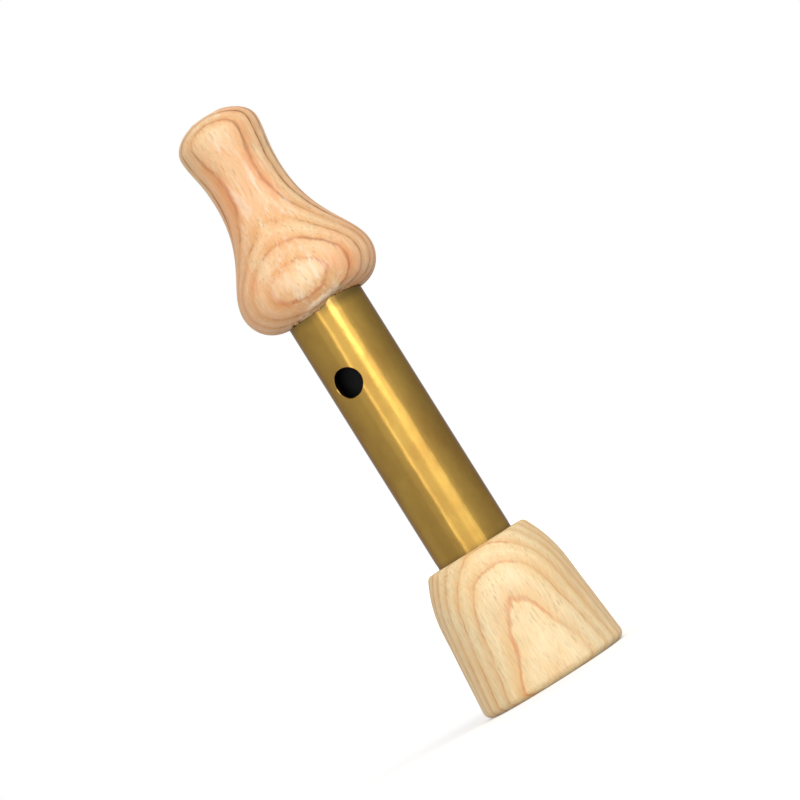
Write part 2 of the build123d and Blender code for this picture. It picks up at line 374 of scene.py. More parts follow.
# %% [markdown]
# The barrel is drawn brass tube: pulled through a die, which leaves fine lines along it, then handled until
# it is satin. The lines are noise stretched along the tube. They rough up the gloss and tilt the surface
# slightly, so the lamps' reflections get the soft, wavering edges that a machined bar would not have. A
# thin clear coat, as of lacquer or wax, makes the highlights paler than the metal. Where the tube meets the
# wood, at the mouthpiece and at the bell, the brass is painted darker and browner: painted shade, for the
# shadow that the wood throws into those corners.

# %% Painted shade in the corners
# painted shade: the dark brown that the brass is painted towards where it meets the wood
CORNER_SHADE = "#4A381A"
SHADE_OUTER, SHADE_INNER = 1.4, 0.4  # times its reach: where it ends, and where it is full


def shaded_corner(tree, height, cloud, brass, corner, reach, share):
    """Brass with painted shade about a height in mm: how far it reaches, and how much of the brass it hides.
    """
    past = add(tree, MATH, [height, corner], "SUBTRACT")
    apart = add(tree, MATH, [past], "ABSOLUTE")
    uneven = add(tree, MATH, [cloud, reach, apart], "MULTIPLY_ADD")
    painted_shade = add(tree, RANGE, [uneven, reach * SHADE_OUTER, reach * SHADE_INNER, 0.0, share],
                interpolation_type="SMOOTHSTEP")
    return add(tree, MIX, {SHARE: painted_shade, UNDER: brass, OVER: srgb(CORNER_SHADE)}, data_type="RGBA")


print("grime in the corners:", CORNER_SHADE)

# %% Drawn brass
DIE_LINE, DIE_LINE_LENGTH = 0.35, 60.0  # mm, drawn coarser than a die leaves them, so that they show
CLOUD, CLOUD_LENGTH = 6.0, 9.0  # mm, patches of tarnish
DENT, DENT_LENGTH = 3.0, 7.0  # mm, slow dents that make a reflection waver
TARNISH_CUT, DIE_LINE_CUT = (0.35, 0.7), (0.3, 0.7)
DIE_LINE_DEPTH, DENT_DEPTH = 0.01 * MM, 0.12 * MM
SMOOTHEST, ROUGHEST = 0.8, 1.2  # times the roughness given
COAT_WEIGHT, COAT_ROUGHNESS = 0.25, 0.12


def drawn_brass(name, colour, tarnish, edge, roughness, corners=()):
    """Satin brass with lines along Z, a thin uneven tarnish, an edge tint seen aslant, and painted shade
    about the corners' heights.
    """
    made, tree, shader, place = new_material(name)
    lines = streaks(tree, place, DIE_LINE, DIE_LINE_LENGTH)
    cloud = streaks(tree, place, CLOUD, CLOUD_LENGTH)
    dents = streaks(tree, place, DENT, DENT_LENGTH, detail=2.0)
    dull = add(tree, RANGE, [cloud, *TARNISH_CUT])
    brass = add(tree, MIX, {SHARE: dull, UNDER: srgb(colour), OVER: srgb(tarnish)}, data_type="RGBA")
    height = add(tree, "ShaderNodeSeparateXYZ", [place]).outputs["Z"]
    for corner in corners:
        brass = shaded_corner(tree, height, cloud, brass, *corner)
    gloss = add(tree, RANGE, [lines, *DIE_LINE_CUT, roughness * SMOOTHEST, roughness * ROUGHEST])
    dented = add(tree, BUMP, {"Height": dents, "Distance": DENT_DEPTH, "Strength": 0.5})
    relief = add(tree, BUMP, {"Height": lines, "Distance": DIE_LINE_DEPTH, "Strength": 0.35,
                              "Normal": dented})
    feed(tree, shader, {"Base Color": brass, "Roughness": gloss, "Normal": relief, "Metallic": 1.0,
                        "Specular Tint": srgb(edge), "Coat Weight": COAT_WEIGHT,
                        "Coat Roughness": COAT_ROUGHNESS})
    return made


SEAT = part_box("mouthpiece")[0].z / MM
BELL_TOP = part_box("bell")[1].z / MM
# painted shade on the tube below the mouthpiece's seat and above the bell, each as height, reach and share
brass_tube = drawn_brass("brass_drawn_satin", "#9A7B36", "#8E6C2D", "#C4B6B0", 0.175,
                         corners=((SEAT, 2.5, 0.6), (BELL_TOP, 1.5, 0.4)))
reed_brass = drawn_brass("brass_spring_strip", "#B48F47", "#A37E3C", "#CDB27E", 0.17)
print("brass finishes:", brass_tube.name, reed_brass.name)

# %% [markdown]
# The insert is hard rubber, turned and filed: black, with hardly any sheen and faint file marks. Its O-rings
# are moulded nitrile, greyer and with a little more sheen. One function makes both, with marks that are long
# where a file ran and round where a mould pressed.

# %% Hard rubber and nitrile
MARK_WIDTH, MARK_DEPTH = 0.4, 0.03 * MM  # the width is in mm
GLOSS_SPREAD = 0.08  # how far the marks vary the roughness


def black_rubber(name, colour, worn, roughness, sheen, mark_length):
    """Black rubber with marks along Z, of that length in mm."""
    made, tree, shader, place = new_material(name)
    marks = streaks(tree, place, MARK_WIDTH, mark_length, detail=2.0, roughness=0.5)
    coloured = add(tree, MIX, {SHARE: marks, UNDER: srgb(colour), OVER: srgb(worn)}, data_type="RGBA")
    gloss = add(tree, RANGE, [marks, 0.0, 1.0, roughness - GLOSS_SPREAD, roughness + GLOSS_SPREAD])
    relief = add(tree, BUMP, {"Height": marks, "Distance": MARK_DEPTH, "Strength": 0.4})
    feed(tree, shader, {"Base Color": coloured, "Roughness": gloss, "Normal": relief,
                        "Specular IOR Level": sheen})
    return made


hard_rubber = black_rubber("hard_rubber_filed", "#0B0B0D", "#151518", 0.6, 0.08, mark_length=9.0)
ring_rubber = black_rubber("nitrile_moulded", "#1B1B1D", "#29292B", 0.58, 0.5, mark_length=MARK_WIDTH)
print("rubbers:", hard_rubber.name, ring_rubber.name)

# %% [markdown]
# The wedge that holds the reed is cork, pressed from grains a millimetre or so across with dark pits between
# them. It is matt all over. A Voronoi pattern has just such cells, and noise opens the pits.

# %% Cork
CORK_GRAIN, CORK_PIT = 0.9, 0.7  # mm
PIT_CUT, PIT_DEPTH = (0.60, 0.68), 0.15 * MM


def cut_cork(name):
    """Agglomerated cork: matt, with pale grains and dark pits."""
    made, tree, shader, place = new_material(name)
    grains = add(tree, "ShaderNodeTexVoronoi", {"Vector": place, "Scale": 1 / CORK_GRAIN}).outputs
    tone = add(tree, "ShaderNodeValToRGB", [grains["Color"]],
               stops=[(0.0, "#B27F4C"), (0.5, "#C89A66"), (1.0, "#D8B081")])
    hollows = add(tree, NOISE, {"Vector": place, "Scale": 1 / CORK_PIT, "Detail": 2.0})
    pits = add(tree, RANGE, [hollows, *PIT_CUT])
    coloured = add(tree, MIX, {SHARE: pits, UNDER: tone, OVER: srgb("#6E4526")}, data_type="RGBA")
    sunk = add(tree, MATH, [grains["Distance"], pits], "SUBTRACT")
    relief = add(tree, BUMP, {"Height": sunk, "Distance": PIT_DEPTH, "Strength": 0.6})
    feed(tree, shader, {"Base Color": coloured, "Roughness": 0.9, "Normal": relief})
    return made


cork = cut_cork("cork_cut")
print("wedge finish:", cork.name)

# %% [markdown]
# The mouthpiece and the bell were turned on a lathe: a tool follows one outline while the wood spins. The
# same rule makes them here. An outline, drawn as a Bezier curve with only the points it needs, is swept
# round a small circle by Curve to Mesh, and that gives a closed, hollow piece. A Spin operator would do too,
# but a tree keeps the sizes as named inputs, and it can add what work and wear leave afterwards.

# %% Sweep an outline
SPIN_RADIUS = 1.0 * MM


def swept(tree, given):
    """The outline swept round the axis, with its faces outwards."""
    outline = add(tree, "GeometryNodeObjectInfo", {"Object": given["Outline"]})
    stepped = add(tree, "GeometryNodeResampleCurve", {"Curve": outline.outputs["Geometry"],
                                                      "Length": given["Step Along"]}, mode="LENGTH")
    spin = add(tree, "GeometryNodeCurvePrimitiveCircle", {"Resolution": given["Steps Round"],
                                                          "Radius": SPIN_RADIUS})
    upright = add(tree, "GeometryNodeSetCurveNormal", {"Curve": spin}, mode="Z_UP")
    inside_out = add(tree, "GeometryNodeCurveToMesh", {"Curve": upright, "Profile Curve": stepped})
    return add(tree, "GeometryNodeFlipFaces", [inside_out])


print("an outline spins round a circle of", SPIN_RADIUS / MM, "mm")

# %% [markdown]
# A steady hand with sandpaper still leaves faint waves. They are noise that presses the surface inwards, on
# the outside only, so the bores still fit.

# %% Sanding waves
LEAST_OUTWARD, MOST_OUTWARD = 0.1, 0.4  # how far a face looks away from the axis, as a cosine


def waved(tree, given, solid, place, normal):
    """A piece with faint waves pressed into its outside."""
    level = add(tree, VECTOR, [place, (1, 1, 0)], "MULTIPLY")
    radial = add(tree, VECTOR, [level], "NORMALIZE")
    outward = add(tree, VECTOR, [radial, normal], "DOT_PRODUCT")
    outside = add(tree, RANGE, [outward, LEAST_OUTWARD, MOST_OUTWARD])
    frequency = add(tree, MATH, [1.0, given["Wave Length"]], "DIVIDE")
    wave = add(tree, NOISE, {"Vector": place, "Scale": frequency, "W": given["Seed"], "Detail": 1.0},
               noise_dimensions="4D")
    for factor in (given["Wave Depth"], outside, -1.0):
        wave = add(tree, MATH, [wave, factor], "MULTIPLY")
    shift = add(tree, VECTOR, {0: normal, "Scale": wave}, "SCALE")
    return add(tree, "GeometryNodeSetPosition", {"Geometry": solid, "Offset": shift})


print("waves from, degrees off the axis:", round(math.degrees(math.asin(LEAST_OUTWARD)), 1))

# %% [markdown]
# Where the bulb meets the tube, a piece of its lower edge has chipped away, a splinter lifted beside the
# chip, and some glue dried in crumbs. All three are laid out by the turn round the axis from where the chip
# starts, in radians, and by the height above the edge. Shares that rise over a span of each keep them in
# their places, and one noise makes all of them jagged.

# %% A place at the edge
CHIP_AZIMUTH = 29.0
JAG_SIZE = 0.8 * MM


def at_the_edge(tree, given, place):
    """The turn past the chip's start, the height above the edge, and the jagged noise."""
    turn = turn_from(tree, place, CHIP_AZIMUTH)
    height = add(tree, "ShaderNodeSeparateXYZ", [place]).outputs["Z"]
    above = add(tree, MATH, [height, given["Chip Height"]], "SUBTRACT")
    return turn, above, add(tree, NOISE, {"Vector": place, "Scale": 1 / JAG_SIZE, "Detail": 2.0})


def share_over(tree, *spans):
    """A share that rises over every span, each given as a value, and where it is none and full."""
    share = 1.0
    for value, (none, full) in spans:
        rise = add(tree, RANGE, [value, none, full])
        share = add(tree, MATH, [share, rise], "MULTIPLY")
    return share


print("the chip starts at", CHIP_AZIMUTH, "degrees")

# %% Chip
CHIP_LEFT, CHIP_RIGHT, CHIP_UP = (0.0, 0.25), (1.6, 0.3), (2.0 * MM, 0.2 * MM)
JAG_CUT, SHALLOWEST, DEEPEST = (0.3, 0.7), 0.7, 1.3  # the last two are times the chip's rise


def chipped(tree, given, solid, turn, above, jag):
    """A piece whose lower edge is pushed up where a chip has gone."""
    gone = share_over(tree, (turn, CHIP_LEFT), (turn, CHIP_RIGHT), (above, CHIP_UP))
    uneven = add(tree, RANGE, [jag, *JAG_CUT, SHALLOWEST, DEEPEST])
    depth = add(tree, MATH, [gone, uneven], "MULTIPLY")
    rise = add(tree, MATH, [depth, given["Chip Rise"]], "MULTIPLY")
    shift = add(tree, "ShaderNodeCombineXYZ", {"Z": rise})
    return add(tree, "GeometryNodeSetPosition", {"Geometry": solid, "Offset": shift})


print("the chip reaches up, mm:", CHIP_UP[0] / MM)

# %% Splinter and crumbs of glue
CREST_TURN, CREST_HEIGHT = (-0.36, 0.40), (0.3 * MM, 1.35 * MM)  # the splinter climbs as it turns
CREST_JAG = 0.5 * MM
SPLINTER_ACROSS, SPLINTER_LEFT, SPLINTER_RIGHT = (0.45 * MM, 0.2 * MM), (-0.5, -0.1), (0.41, 0.38)
CRUMB, CRUMB_UP, CRUMB_LEFT, CRUMB_RIGHT = (0.52, 0.6), (0.6 * MM, 0.3 * MM), (-1.4, -1.1), (0.2, 0.1)
TUBE_CLEAR = (8.15 * MM, 8.3 * MM)  # nothing is lifted nearer to the axis, where the tube is
ANY_LIFT = (0.0, 0.01 * MM)  # without a lift, nothing is torn


def torn_places(tree, given, place, turn, above, jag):
    """How much of a splinter or a glue crumb there is at a point."""
    crest = add(tree, RANGE, [turn, *CREST_TURN, *CREST_HEIGHT])
    ragged = add(tree, MATH, [jag, CREST_JAG, crest], "MULTIPLY_ADD")
    past_crest = add(tree, MATH, [above, ragged], "SUBTRACT")
    off_crest = add(tree, MATH, [past_crest], "ABSOLUTE")
    splinter = share_over(tree, (off_crest, SPLINTER_ACROSS), (turn, SPLINTER_LEFT), (turn, SPLINTER_RIGHT))
    crumbs = share_over(tree, (jag, CRUMB), (above, CRUMB_UP), (turn, CRUMB_LEFT), (turn, CRUMB_RIGHT))
    either = add(tree, MATH, [splinter, crumbs], "MAXIMUM")
    level = add(tree, VECTOR, [place, (1, 1, 0)], "MULTIPLY")
    radius = add(tree, VECTOR, [level], "LENGTH")
    allowed = share_over(tree, (radius, TUBE_CLEAR), (given["Splinter Lift"], ANY_LIFT))
    return add(tree, MATH, [either, allowed], "MULTIPLY")


def splintered(tree, given, solid, normal, torn):
    """A piece with its torn places lifted, and marked so that the wood's material can colour them."""
    lift = add(tree, MATH, [torn, given["Splinter Lift"]], "MULTIPLY")
    shift = add(tree, VECTOR, {0: normal, "Scale": lift}, "SCALE")
    marked = add(tree, "GeometryNodeStoreNamedAttribute", {"Geometry": solid, "Name": "torn", "Value": torn},
                 domain="POINT")
    return add(tree, "GeometryNodeSetPosition", {"Geometry": marked, "Offset": shift})


print("the splinter climbs to, mm:", CREST_HEIGHT[1] / MM)

# %% [markdown]
# These steps make one tree, with a named input for each size. It ends by shading gentle edges smooth and
# giving the piece its wood.

# %% The lathe
GENTLE = math.radians(40)  # edges up to this angle are shaded smooth
LATHE_INPUTS = {
    "Outline": "Object", "Steps Round": "Int", "Step Along": "Float", "Wave Depth": "Float",
    "Wave Length": "Float", "Seed": "Float", "Wood": "Material", "Chip Height": "Float",
    "Chip Rise": "Float", "Splinter Lift": "Float"}


def lathe_tree():
    """The Geometry Nodes tree that turns, sands and wears a piece."""
    tree = bpy.data.node_groups.new("lathe", "GeometryNodeTree")
    for title, kind in LATHE_INPUTS.items():
        tree.interface.new_socket(title, in_out="INPUT", socket_type="NodeSocket" + kind)
    tree.interface.new_socket("Geometry", in_out="OUTPUT", socket_type="NodeSocketGeometry")
    given = add(tree, "NodeGroupInput").outputs
    place = add(tree, "GeometryNodeInputPosition")
    normal = add(tree, "GeometryNodeInputNormal")
    edge = at_the_edge(tree, given, place)
    sanded_piece = waved(tree, given, swept(tree, given), place, normal)
    worn = splintered(tree, given, chipped(tree, given, sanded_piece, *edge), normal,
                      torn_places(tree, given, place, *edge))
    angle = add(tree, "GeometryNodeInputMeshEdgeAngle")
    gentle = add(tree, "FunctionNodeCompare", [angle, GENTLE], "LESS_THAN")
    smooth = add(tree, "GeometryNodeSetShadeSmooth", [worn, gentle], domain="EDGE")
    plain = add(tree, "GeometryNodeRealizeInstances", [smooth])
    dressed = add(tree, "GeometryNodeSetMaterial", {"Geometry": plain, "Material": given["Wood"]})
    add(tree, "NodeGroupOutput", [dressed])
    return tree


lathe = lathe_tree()
print("lathe inputs:", ", ".join(LATHE_INPUTS))

# %% [markdown]
# A modifier runs the tree, and it knows the inputs by their identifiers, so these are looked up by name. The
# evaluated result is kept as a plain mesh, because the model that leaves Blender carries no trees.

# %% Run the lathe
def grow(tree, name, sizes):
    """Runs a tree with its named inputs set, and keeps the result as a plain mesh object."""
    made = bpy.data.objects.new(name, bpy.data.meshes.new(name))
    scene.collection.objects.link(made)
    grower = made.modifiers.new("grow", "NODES")
    grower.node_group = tree
    for socket in tree.interface.items_tree:
        if socket.in_out == "INPUT":
            grower[socket.identifier] = sizes[socket.name]
    graph = bpy.context.evaluated_depsgraph_get()
    mesh = bpy.data.meshes.new_from_object(made.evaluated_get(graph), depsgraph=graph)
    made.modifiers.remove(grower)
    made.data = mesh
    return made


print("the first input's identifier:", lathe.interface.items_tree["Outline"].identifier)

# %% [markdown]
# An outline goes once round one half of the piece, as points of radius and height in millimetres. Straight
# runs and arcs are both cubic segments, so the curve is exact where the tool ran straight and within a
# hair where it turned.

# %% Stretches of an outline
ROUND_SHARE = 0.55  # makes a cubic segment nearly a quarter circle


def run_to(end):
    """A straight run to a point."""
    return lambda start: (start.lerp(Vector(end), 1 / 3), start.lerp(Vector(end), 2 / 3), Vector(end))


def bend_to(first_handle, second_handle, end):
    """A Bezier stretch to a point."""
    return lambda start: (Vector(first_handle), Vector(second_handle), Vector(end))


def ease_to(corner, end):
    """A rounded corner: leaves towards the corner and arrives from it."""
    return lambda start: (start.lerp(Vector(corner), ROUND_SHARE),
                          Vector(end).lerp(Vector(corner), ROUND_SHARE), Vector(end))


def arc_to(centre, radii, from_degrees, to_degrees):
    """Part of an ellipse about a centre."""
    a, b = math.radians(from_degrees), math.radians(to_degrees)
    reach = 4 / 3 * math.tan((b - a) / 4)

    def at(angle):
        return Vector((centre[0] + radii[0] * math.cos(angle), centre[1] + radii[1] * math.sin(angle)))

    def along(angle):
        return Vector((-radii[0] * math.sin(angle), radii[1] * math.cos(angle))) * reach

    return lambda start: (at(a) + along(a), at(b) - along(b), at(b))


print("a third of the way along a run:", tuple(run_to((3, 3))(Vector((0, 0)))[0]))

# %% Drawing an outline
OUTLINE_STEPS = 48  # points that Blender puts on each stretch


def draw_outline(name, start, stretches):
    """A closed Bezier curve through the stretches, as the lathe's outline. It lies in the XY plane with
    heights drawn downwards, because Curve to Mesh turns an outline's Y axis that way on a level circle."""
    spots = [Vector(start)]
    handles = []
    for stretch in stretches:
        leave, arrive, end = stretch(spots[-1])
        handles.append((leave, arrive))
        spots.append(end)
    curve = bpy.data.curves.new(name, "CURVE")
    curve.resolution_u = OUTLINE_STEPS
    spline = curve.splines.new("BEZIER")
    spline.bezier_points.add(len(stretches) - 1)
    spline.use_cyclic_u = True
    spin = Vector((SPIN_RADIUS / MM, 0))

    def flat(spot):
        x, y = (spot - spin) * MM
        return x, -y, 0

    for i, point in enumerate(spline.bezier_points):
        point.handle_left_type = point.handle_right_type = "FREE"
        point.co = flat(spots[i])
        point.handle_right = flat(handles[i][0])
        point.handle_left = flat(handles[i - 1][1])
    made = bpy.data.objects.new(name, curve)
    scene.collection.objects.link(made)
    return made


print("points on each stretch:", OUTLINE_STEPS)

# %% [markdown]
# The mouthpiece has a round bulb that stops the lips and fingers, a waist for a neck cord, and a domed tip
# with a hole to blow into. Its sizes repeat those of the CAD solid, and its seat is read from the frame. The
# lip's round starts where the dome has come down to the hole, so that angle is worked out first.

# %% Outline of the mouthpiece
SOCKET_DEPTH = 12.0  # how far the tube goes into either piece
SEAT_R, SOCKET_R, SOCKET_TOP = 8.3, 8.05, SEAT + SOCKET_DEPTH
BULB_R, BULB_Z, BULB_HANDLE = 14.3, SEAT + 6.3, 5.7
WAIST_R, WAIST_Z, HANDLE_BELOW, HANDLE_ABOVE = 7.45, SEAT + 27.6, 12.0, 5.5
TIP_R, TIP_Z, TIP_DOME, TIP_HANDLE = 8.5, SEAT + 37.9, 5.17, 3.2
WINDWAY_R, FUNNEL_R, FUNNEL_TOP = 3.0, 7.0, SOCKET_TOP + 6.0
LIP_ROUND, LIP_DRAFT = 0.6, 0.02
lip_angle = math.degrees(math.acos((WINDWAY_R + LIP_ROUND) / TIP_R))
lip_top = TIP_Z + TIP_DOME * math.sin(math.radians(lip_angle))

mouthpiece_outline = draw_outline("mouthpiece_outline", (SOCKET_R, SEAT), [
    run_to((SEAT_R, SEAT)),
    arc_to((SEAT_R, BULB_Z), (BULB_R - SEAT_R, BULB_Z - SEAT), -90, 0),
    bend_to((BULB_R, BULB_Z + BULB_HANDLE), (WAIST_R, WAIST_Z - HANDLE_BELOW), (WAIST_R, WAIST_Z)),
    bend_to((WAIST_R, WAIST_Z + HANDLE_ABOVE), (TIP_R, TIP_Z - TIP_HANDLE), (TIP_R, TIP_Z)),
    arc_to((0, TIP_Z), (TIP_R, TIP_DOME), 0, lip_angle),
    ease_to((WINDWAY_R + LIP_DRAFT, lip_top), (WINDWAY_R, lip_top - LIP_ROUND)),
    run_to((WINDWAY_R, FUNNEL_TOP)),
    run_to((FUNNEL_R, SOCKET_TOP)),
    run_to((SOCKET_R, SOCKET_TOP)),
    run_to((SOCKET_R, SEAT)),
])
print("lip above the seat, mm:", round(lip_top - SEAT, 2))

# %% The mouthpiece
STEP_ALONG = 0.25 * MM
mouthpiece = grow(lathe, "turned_mouthpiece", {
    "Outline": mouthpiece_outline, "Steps Round": 176, "Step Along": STEP_ALONG,
    "Wave Depth": 0.08 * MM, "Wave Length": 7.0 * MM, "Seed": 3.0, "Wood": ash_mouthpiece,
    "Chip Height": SEAT * MM, "Chip Rise": 0.85 * MM, "Splinter Lift": 0.25 * MM})
bpy.data.objects.remove(mouthpiece_outline)
print("mouthpiece faces:", len(mouthpiece.data.polygons))

# %% [markdown]
# The bell flares towards its rim outside, with a rounded shoulder below the tube, and inside it is a short
# horn that opens from the tone board's bore. The shoulder carries on from the flare without a corner, so its
# arc is worked out from the way it starts and the point where it ends, and the horn's arc likewise. Nothing
# is chipped here, so the lathe's inputs for that stay at nothing.

# %% Arcs of the bell
RIM_R, SHOULDER_R, SHOULDER_Z, TOP_R = 15.5, 13.95, 18.3, 10.65
BELL_SOCKET_R, SOCKET_FLOOR, PLUG_DEPTH = 8.08, BELL_TOP - SOCKET_DEPTH, 8.0
BORE_R, MOUTH_R = 6.0, 11.0


def arc_through(start, heading, end):
    """Centre, radius and two angles of the arc that leaves start along heading and reaches end."""
    across = Vector((-heading.y, heading.x)).normalized()
    chord = end - start
    radius = chord.length_squared / (2 * chord.dot(across))
    centre = start + across * radius
    angles = [math.degrees(math.atan2(p.y - centre.y, p.x - centre.x)) for p in (start, end)]
    return centre, abs(radius), angles


shoulder = Vector((SHOULDER_R, SHOULDER_Z))
flare = shoulder - Vector((RIM_R, 0))
shoulder_centre, shoulder_radius, shoulder_angles = arc_through(shoulder, flare, Vector((TOP_R, BELL_TOP)))
horn_top = Vector((BORE_R, SOCKET_FLOOR - PLUG_DEPTH))
horn_centre, horn_radius, horn_angles = arc_through(horn_top, Vector((0, -1)), Vector((MOUTH_R, 0)))
print("shoulder and horn radius, mm:", round(shoulder_radius, 2), round(horn_radius, 2))

# %% The bell
TOP_ROUND, RIM_ROUND, MOUTH_ROUND = 0.6, 1.7, 0.23
top_trim = math.degrees(TOP_ROUND / shoulder_radius)
horn_trim = math.degrees(MOUTH_ROUND / horn_radius)
bell_outline = draw_outline("bell_outline", (MOUTH_R + MOUTH_ROUND, 0), [
    run_to((RIM_R - RIM_ROUND, 0)),
    ease_to((RIM_R, 0), Vector((RIM_R, 0)) + flare.normalized() * RIM_ROUND),
    run_to(shoulder),
    arc_to(shoulder_centre, (shoulder_radius,) * 2, shoulder_angles[0], shoulder_angles[1] - top_trim),
    ease_to((TOP_R, BELL_TOP), (TOP_R - TOP_ROUND, BELL_TOP)),
    run_to((BELL_SOCKET_R, BELL_TOP)),
    run_to((BELL_SOCKET_R, SOCKET_FLOOR)),
    run_to((BORE_R, SOCKET_FLOOR)),
    run_to(horn_top),
    arc_to(horn_centre, (horn_radius,) * 2, 180, 360 + horn_angles[1] - horn_trim),
    ease_to((MOUTH_R, 0), (MOUTH_R + MOUTH_ROUND, 0)),
])
bell = grow(lathe, "turned_bell", {
    "Outline": bell_outline, "Steps Round": 192, "Step Along": STEP_ALONG,
    "Wave Depth": 0.05 * MM, "Wave Length": 9.0 * MM, "Seed": 8.0, "Wood": ash_bell,
    "Chip Height": -1.0, "Chip Rise": 0.0, "Splinter Lift": 0.0})
bpy.data.objects.remove(bell_outline)
print("bell faces:", len(bell.data.polygons))

# %% [markdown]
# The tube, the insert and the reed keep their CAD solids, because their shapes are already right. Each one
# only takes its finish.

# %% Dress the CAD nodes
finishes = {"barrel_tube": brass_tube, "tone_board": hard_rubber, "lower_o_ring": ring_rubber,
            "upper_o_ring": ring_rubber, "reed_root": reed_brass, "reed_tongue": reed_brass,
            "reed_wedge": cork}
for node_name, finish in finishes.items():
    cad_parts[node_name].data.materials[0] = finish
print("dressed:", ", ".join(finishes))

# %% [markdown]
# The two turned pieces stand for their CAD solids, which stay for collisions but are hidden. The mouthpiece
# is glued to the tube and moves with the barrel. The bell is the piece that everything else rests on.

# %% Hang each turned piece on its body and hide its CAD solid
for piece, body, node_name, slot in ((mouthpiece, "barrel", "mouthpiece", "ash_mouthpiece"),
                                     (bell, "bell", "bell", "ash_bell")):
    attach(piece, body)
    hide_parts(node_name)

# %% [markdown]
# The stage is set out from where the camera stands, so its direction comes first: a little to the right of
# the tone hole.

# %% The viewer's side
VIEW_AZIMUTH = 29.2
right, towards = across_and_towards(VIEW_AZIMUTH)
print("towards the viewer:", [round(v, 3) for v in towards])

# %% [markdown]
# The floor is a plain pale sheet. It is lit like any surface, so it keeps the call's shadow. A glow on top,
# which only the camera and reflections see, lifts it to the white of the background. Most lamps stand in
# front, so the glow grows towards the back, and it also grows further out, where their light gives way. The
# wood sees the same sheet as grey, because a white one would light the call from below.

# %% Floor sheet
FLOOR_HALF = 3.0
floor_mesh = bpy.data.meshes.new("floor")
floor_mesh.from_pydata([(x * FLOOR_HALF, y * FLOOR_HALF, 0) for x, y in ((-1, -1), (1, -1), (1, 1), (-1, 1))],
                       [], [(0, 1, 2, 3)])
floor = bpy.data.objects.new("floor", floor_mesh)
scene.collection.objects.link(floor)
print("floor half width, m:", FLOOR_HALF)

# %% Paper that shows white
PAPER_LIT, PAPER_SEEN = "#B4B4B4", "#F2F2F2"
BACK, FRONT, GLOW_BACK, GLOW_FRONT = -0.6, 0.3, 0.53, 0.13  # metres towards the viewer, and strengths
NEAR, FAR = 0.22, 0.5  # metres from the call, between which the glow rises to white


def looked_at(tree):
    """1 for rays from the camera, off a gloss or through glass, and 0 for those that gather light."""
    path = add(tree, "ShaderNodeLightPath").outputs
    mirrored = add(tree, MATH, [path["Is Camera Ray"], path["Is Glossy Ray"]], "MAXIMUM")
    return add(tree, MATH, [mirrored, path["Is Transmission Ray"]], "MAXIMUM")


paper, sheet, paper_shader, spot = new_material("paper_white", unit=1.0)
seen = looked_at(sheet)
tone = add(sheet, MIX, {SHARE: seen, UNDER: srgb(PAPER_LIT), OVER: srgb(PAPER_SEEN)}, data_type="RGBA")
nearer = add(sheet, VECTOR, [spot, towards], "DOT_PRODUCT")
lift = add(sheet, RANGE, [nearer, BACK, FRONT, GLOW_BACK, GLOW_FRONT])
away = add(sheet, VECTOR, [spot], "LENGTH")
far = add(sheet, RANGE, [away, NEAR, FAR])
lifted = add(sheet, MATH, [lift, far], "MAXIMUM")
glow = add(sheet, MATH, [seen, lifted], "MULTIPLY")
feed(sheet, paper_shader, {
    "Base Color": tone, "Roughness": 0.9, "Specular IOR Level": 0.0, "Emission Color": (1, 1, 1, 1),
    "Emission Strength": glow})
floor.data.materials.append(paper)
print("floor finish:", paper.name)

# %% [markdown]
# The world is white where the camera or a reflection looks straight at it, and dimmer as a source of soft
# light, so that the lamps still shape the wood.

# %% World
SOFT_FILL = 0.5
world = bpy.data.worlds.new("white_studio")
world.use_nodes = True
scene.world = world
sky = world.node_tree
level = add(sky, RANGE, [looked_at(sky), 0.0, 1.0, SOFT_FILL])
feed(sky, sky.nodes["Background"], {"Color": (1, 1, 1, 1), "Strength": level})
print("fill:", SOFT_FILL)

# %% [markdown]
# The wood is lit by a key box from above and to the right, a low fill and two broad soft faces in front, and
# a fill from behind. The brass says where the other lamps stood: a strip on the left, a box on the right, a
# brighter box above and a small strip below draw the bright lines down the tube. Those four are for
# reflections alone, so the wood doesn't clip, and the two fills are left out of reflections. A lamp's power
# is worked out from how bright its face should look: a face glows by its power over its area and pi.

# %% Lamps
def lamp(name, turn, height, width, tall, glow, aim=None, distance=0.7, on_wood=True, in_brass=True):
    """An area lamp, turned from the viewer to the right by some degrees. It faces the call's axis, and is
    level unless it aims at another height."""
    light = bpy.data.lights.new(name, "AREA")
    light.shape = "RECTANGLE"
    light.size, light.size_y = width, tall
    light.energy = glow * math.pi * width * tall
    made = bpy.data.objects.new(name, light)
    stand = across_and_towards(VIEW_AZIMUTH + turn)[1] * distance + Vector((0, 0, height))
    away = stand - Vector((0, 0, height if aim is None else aim))
    made.matrix_world = Matrix.Translation(stand) @ away.to_track_quat("Z", "Y").to_matrix().to_4x4()
    made.visible_camera = False
    made.visible_diffuse = on_wood
    made.visible_glossy = in_brass
    scene.collection.objects.link(made)


lamp("key_box", 32, height=0.5, width=0.45, tall=0.45, glow=4.0, aim=0.06)
lamp("front_fill", -18, height=0.08, width=0.5, tall=0.3, glow=2.5, in_brass=False)
lamp("wide_screen", 0, height=0.25, width=1.7, tall=0.5, glow=0.25, distance=0.75)
lamp("soft_box", -8.5, height=0.25, width=0.433, tall=0.5, glow=1.05)
lamp("left_strip", -22, height=0.25, width=0.07, tall=0.5, glow=2.0, on_wood=False)
lamp("right_box", 23.5, height=0.25, width=0.37, tall=0.5, glow=1.6, on_wood=False)
lamp("right_low", 30.5, height=0.05, width=0.08, tall=0.16, glow=0.5, on_wood=False)
lamp("right_top", 17, height=0.305, width=0.17, tall=0.39, glow=7.0, on_wood=False)
lamp("back_fill", 180, height=0.6, width=0.6, tall=0.5, glow=1.6, aim=0.05, distance=0.55, in_brass=False)

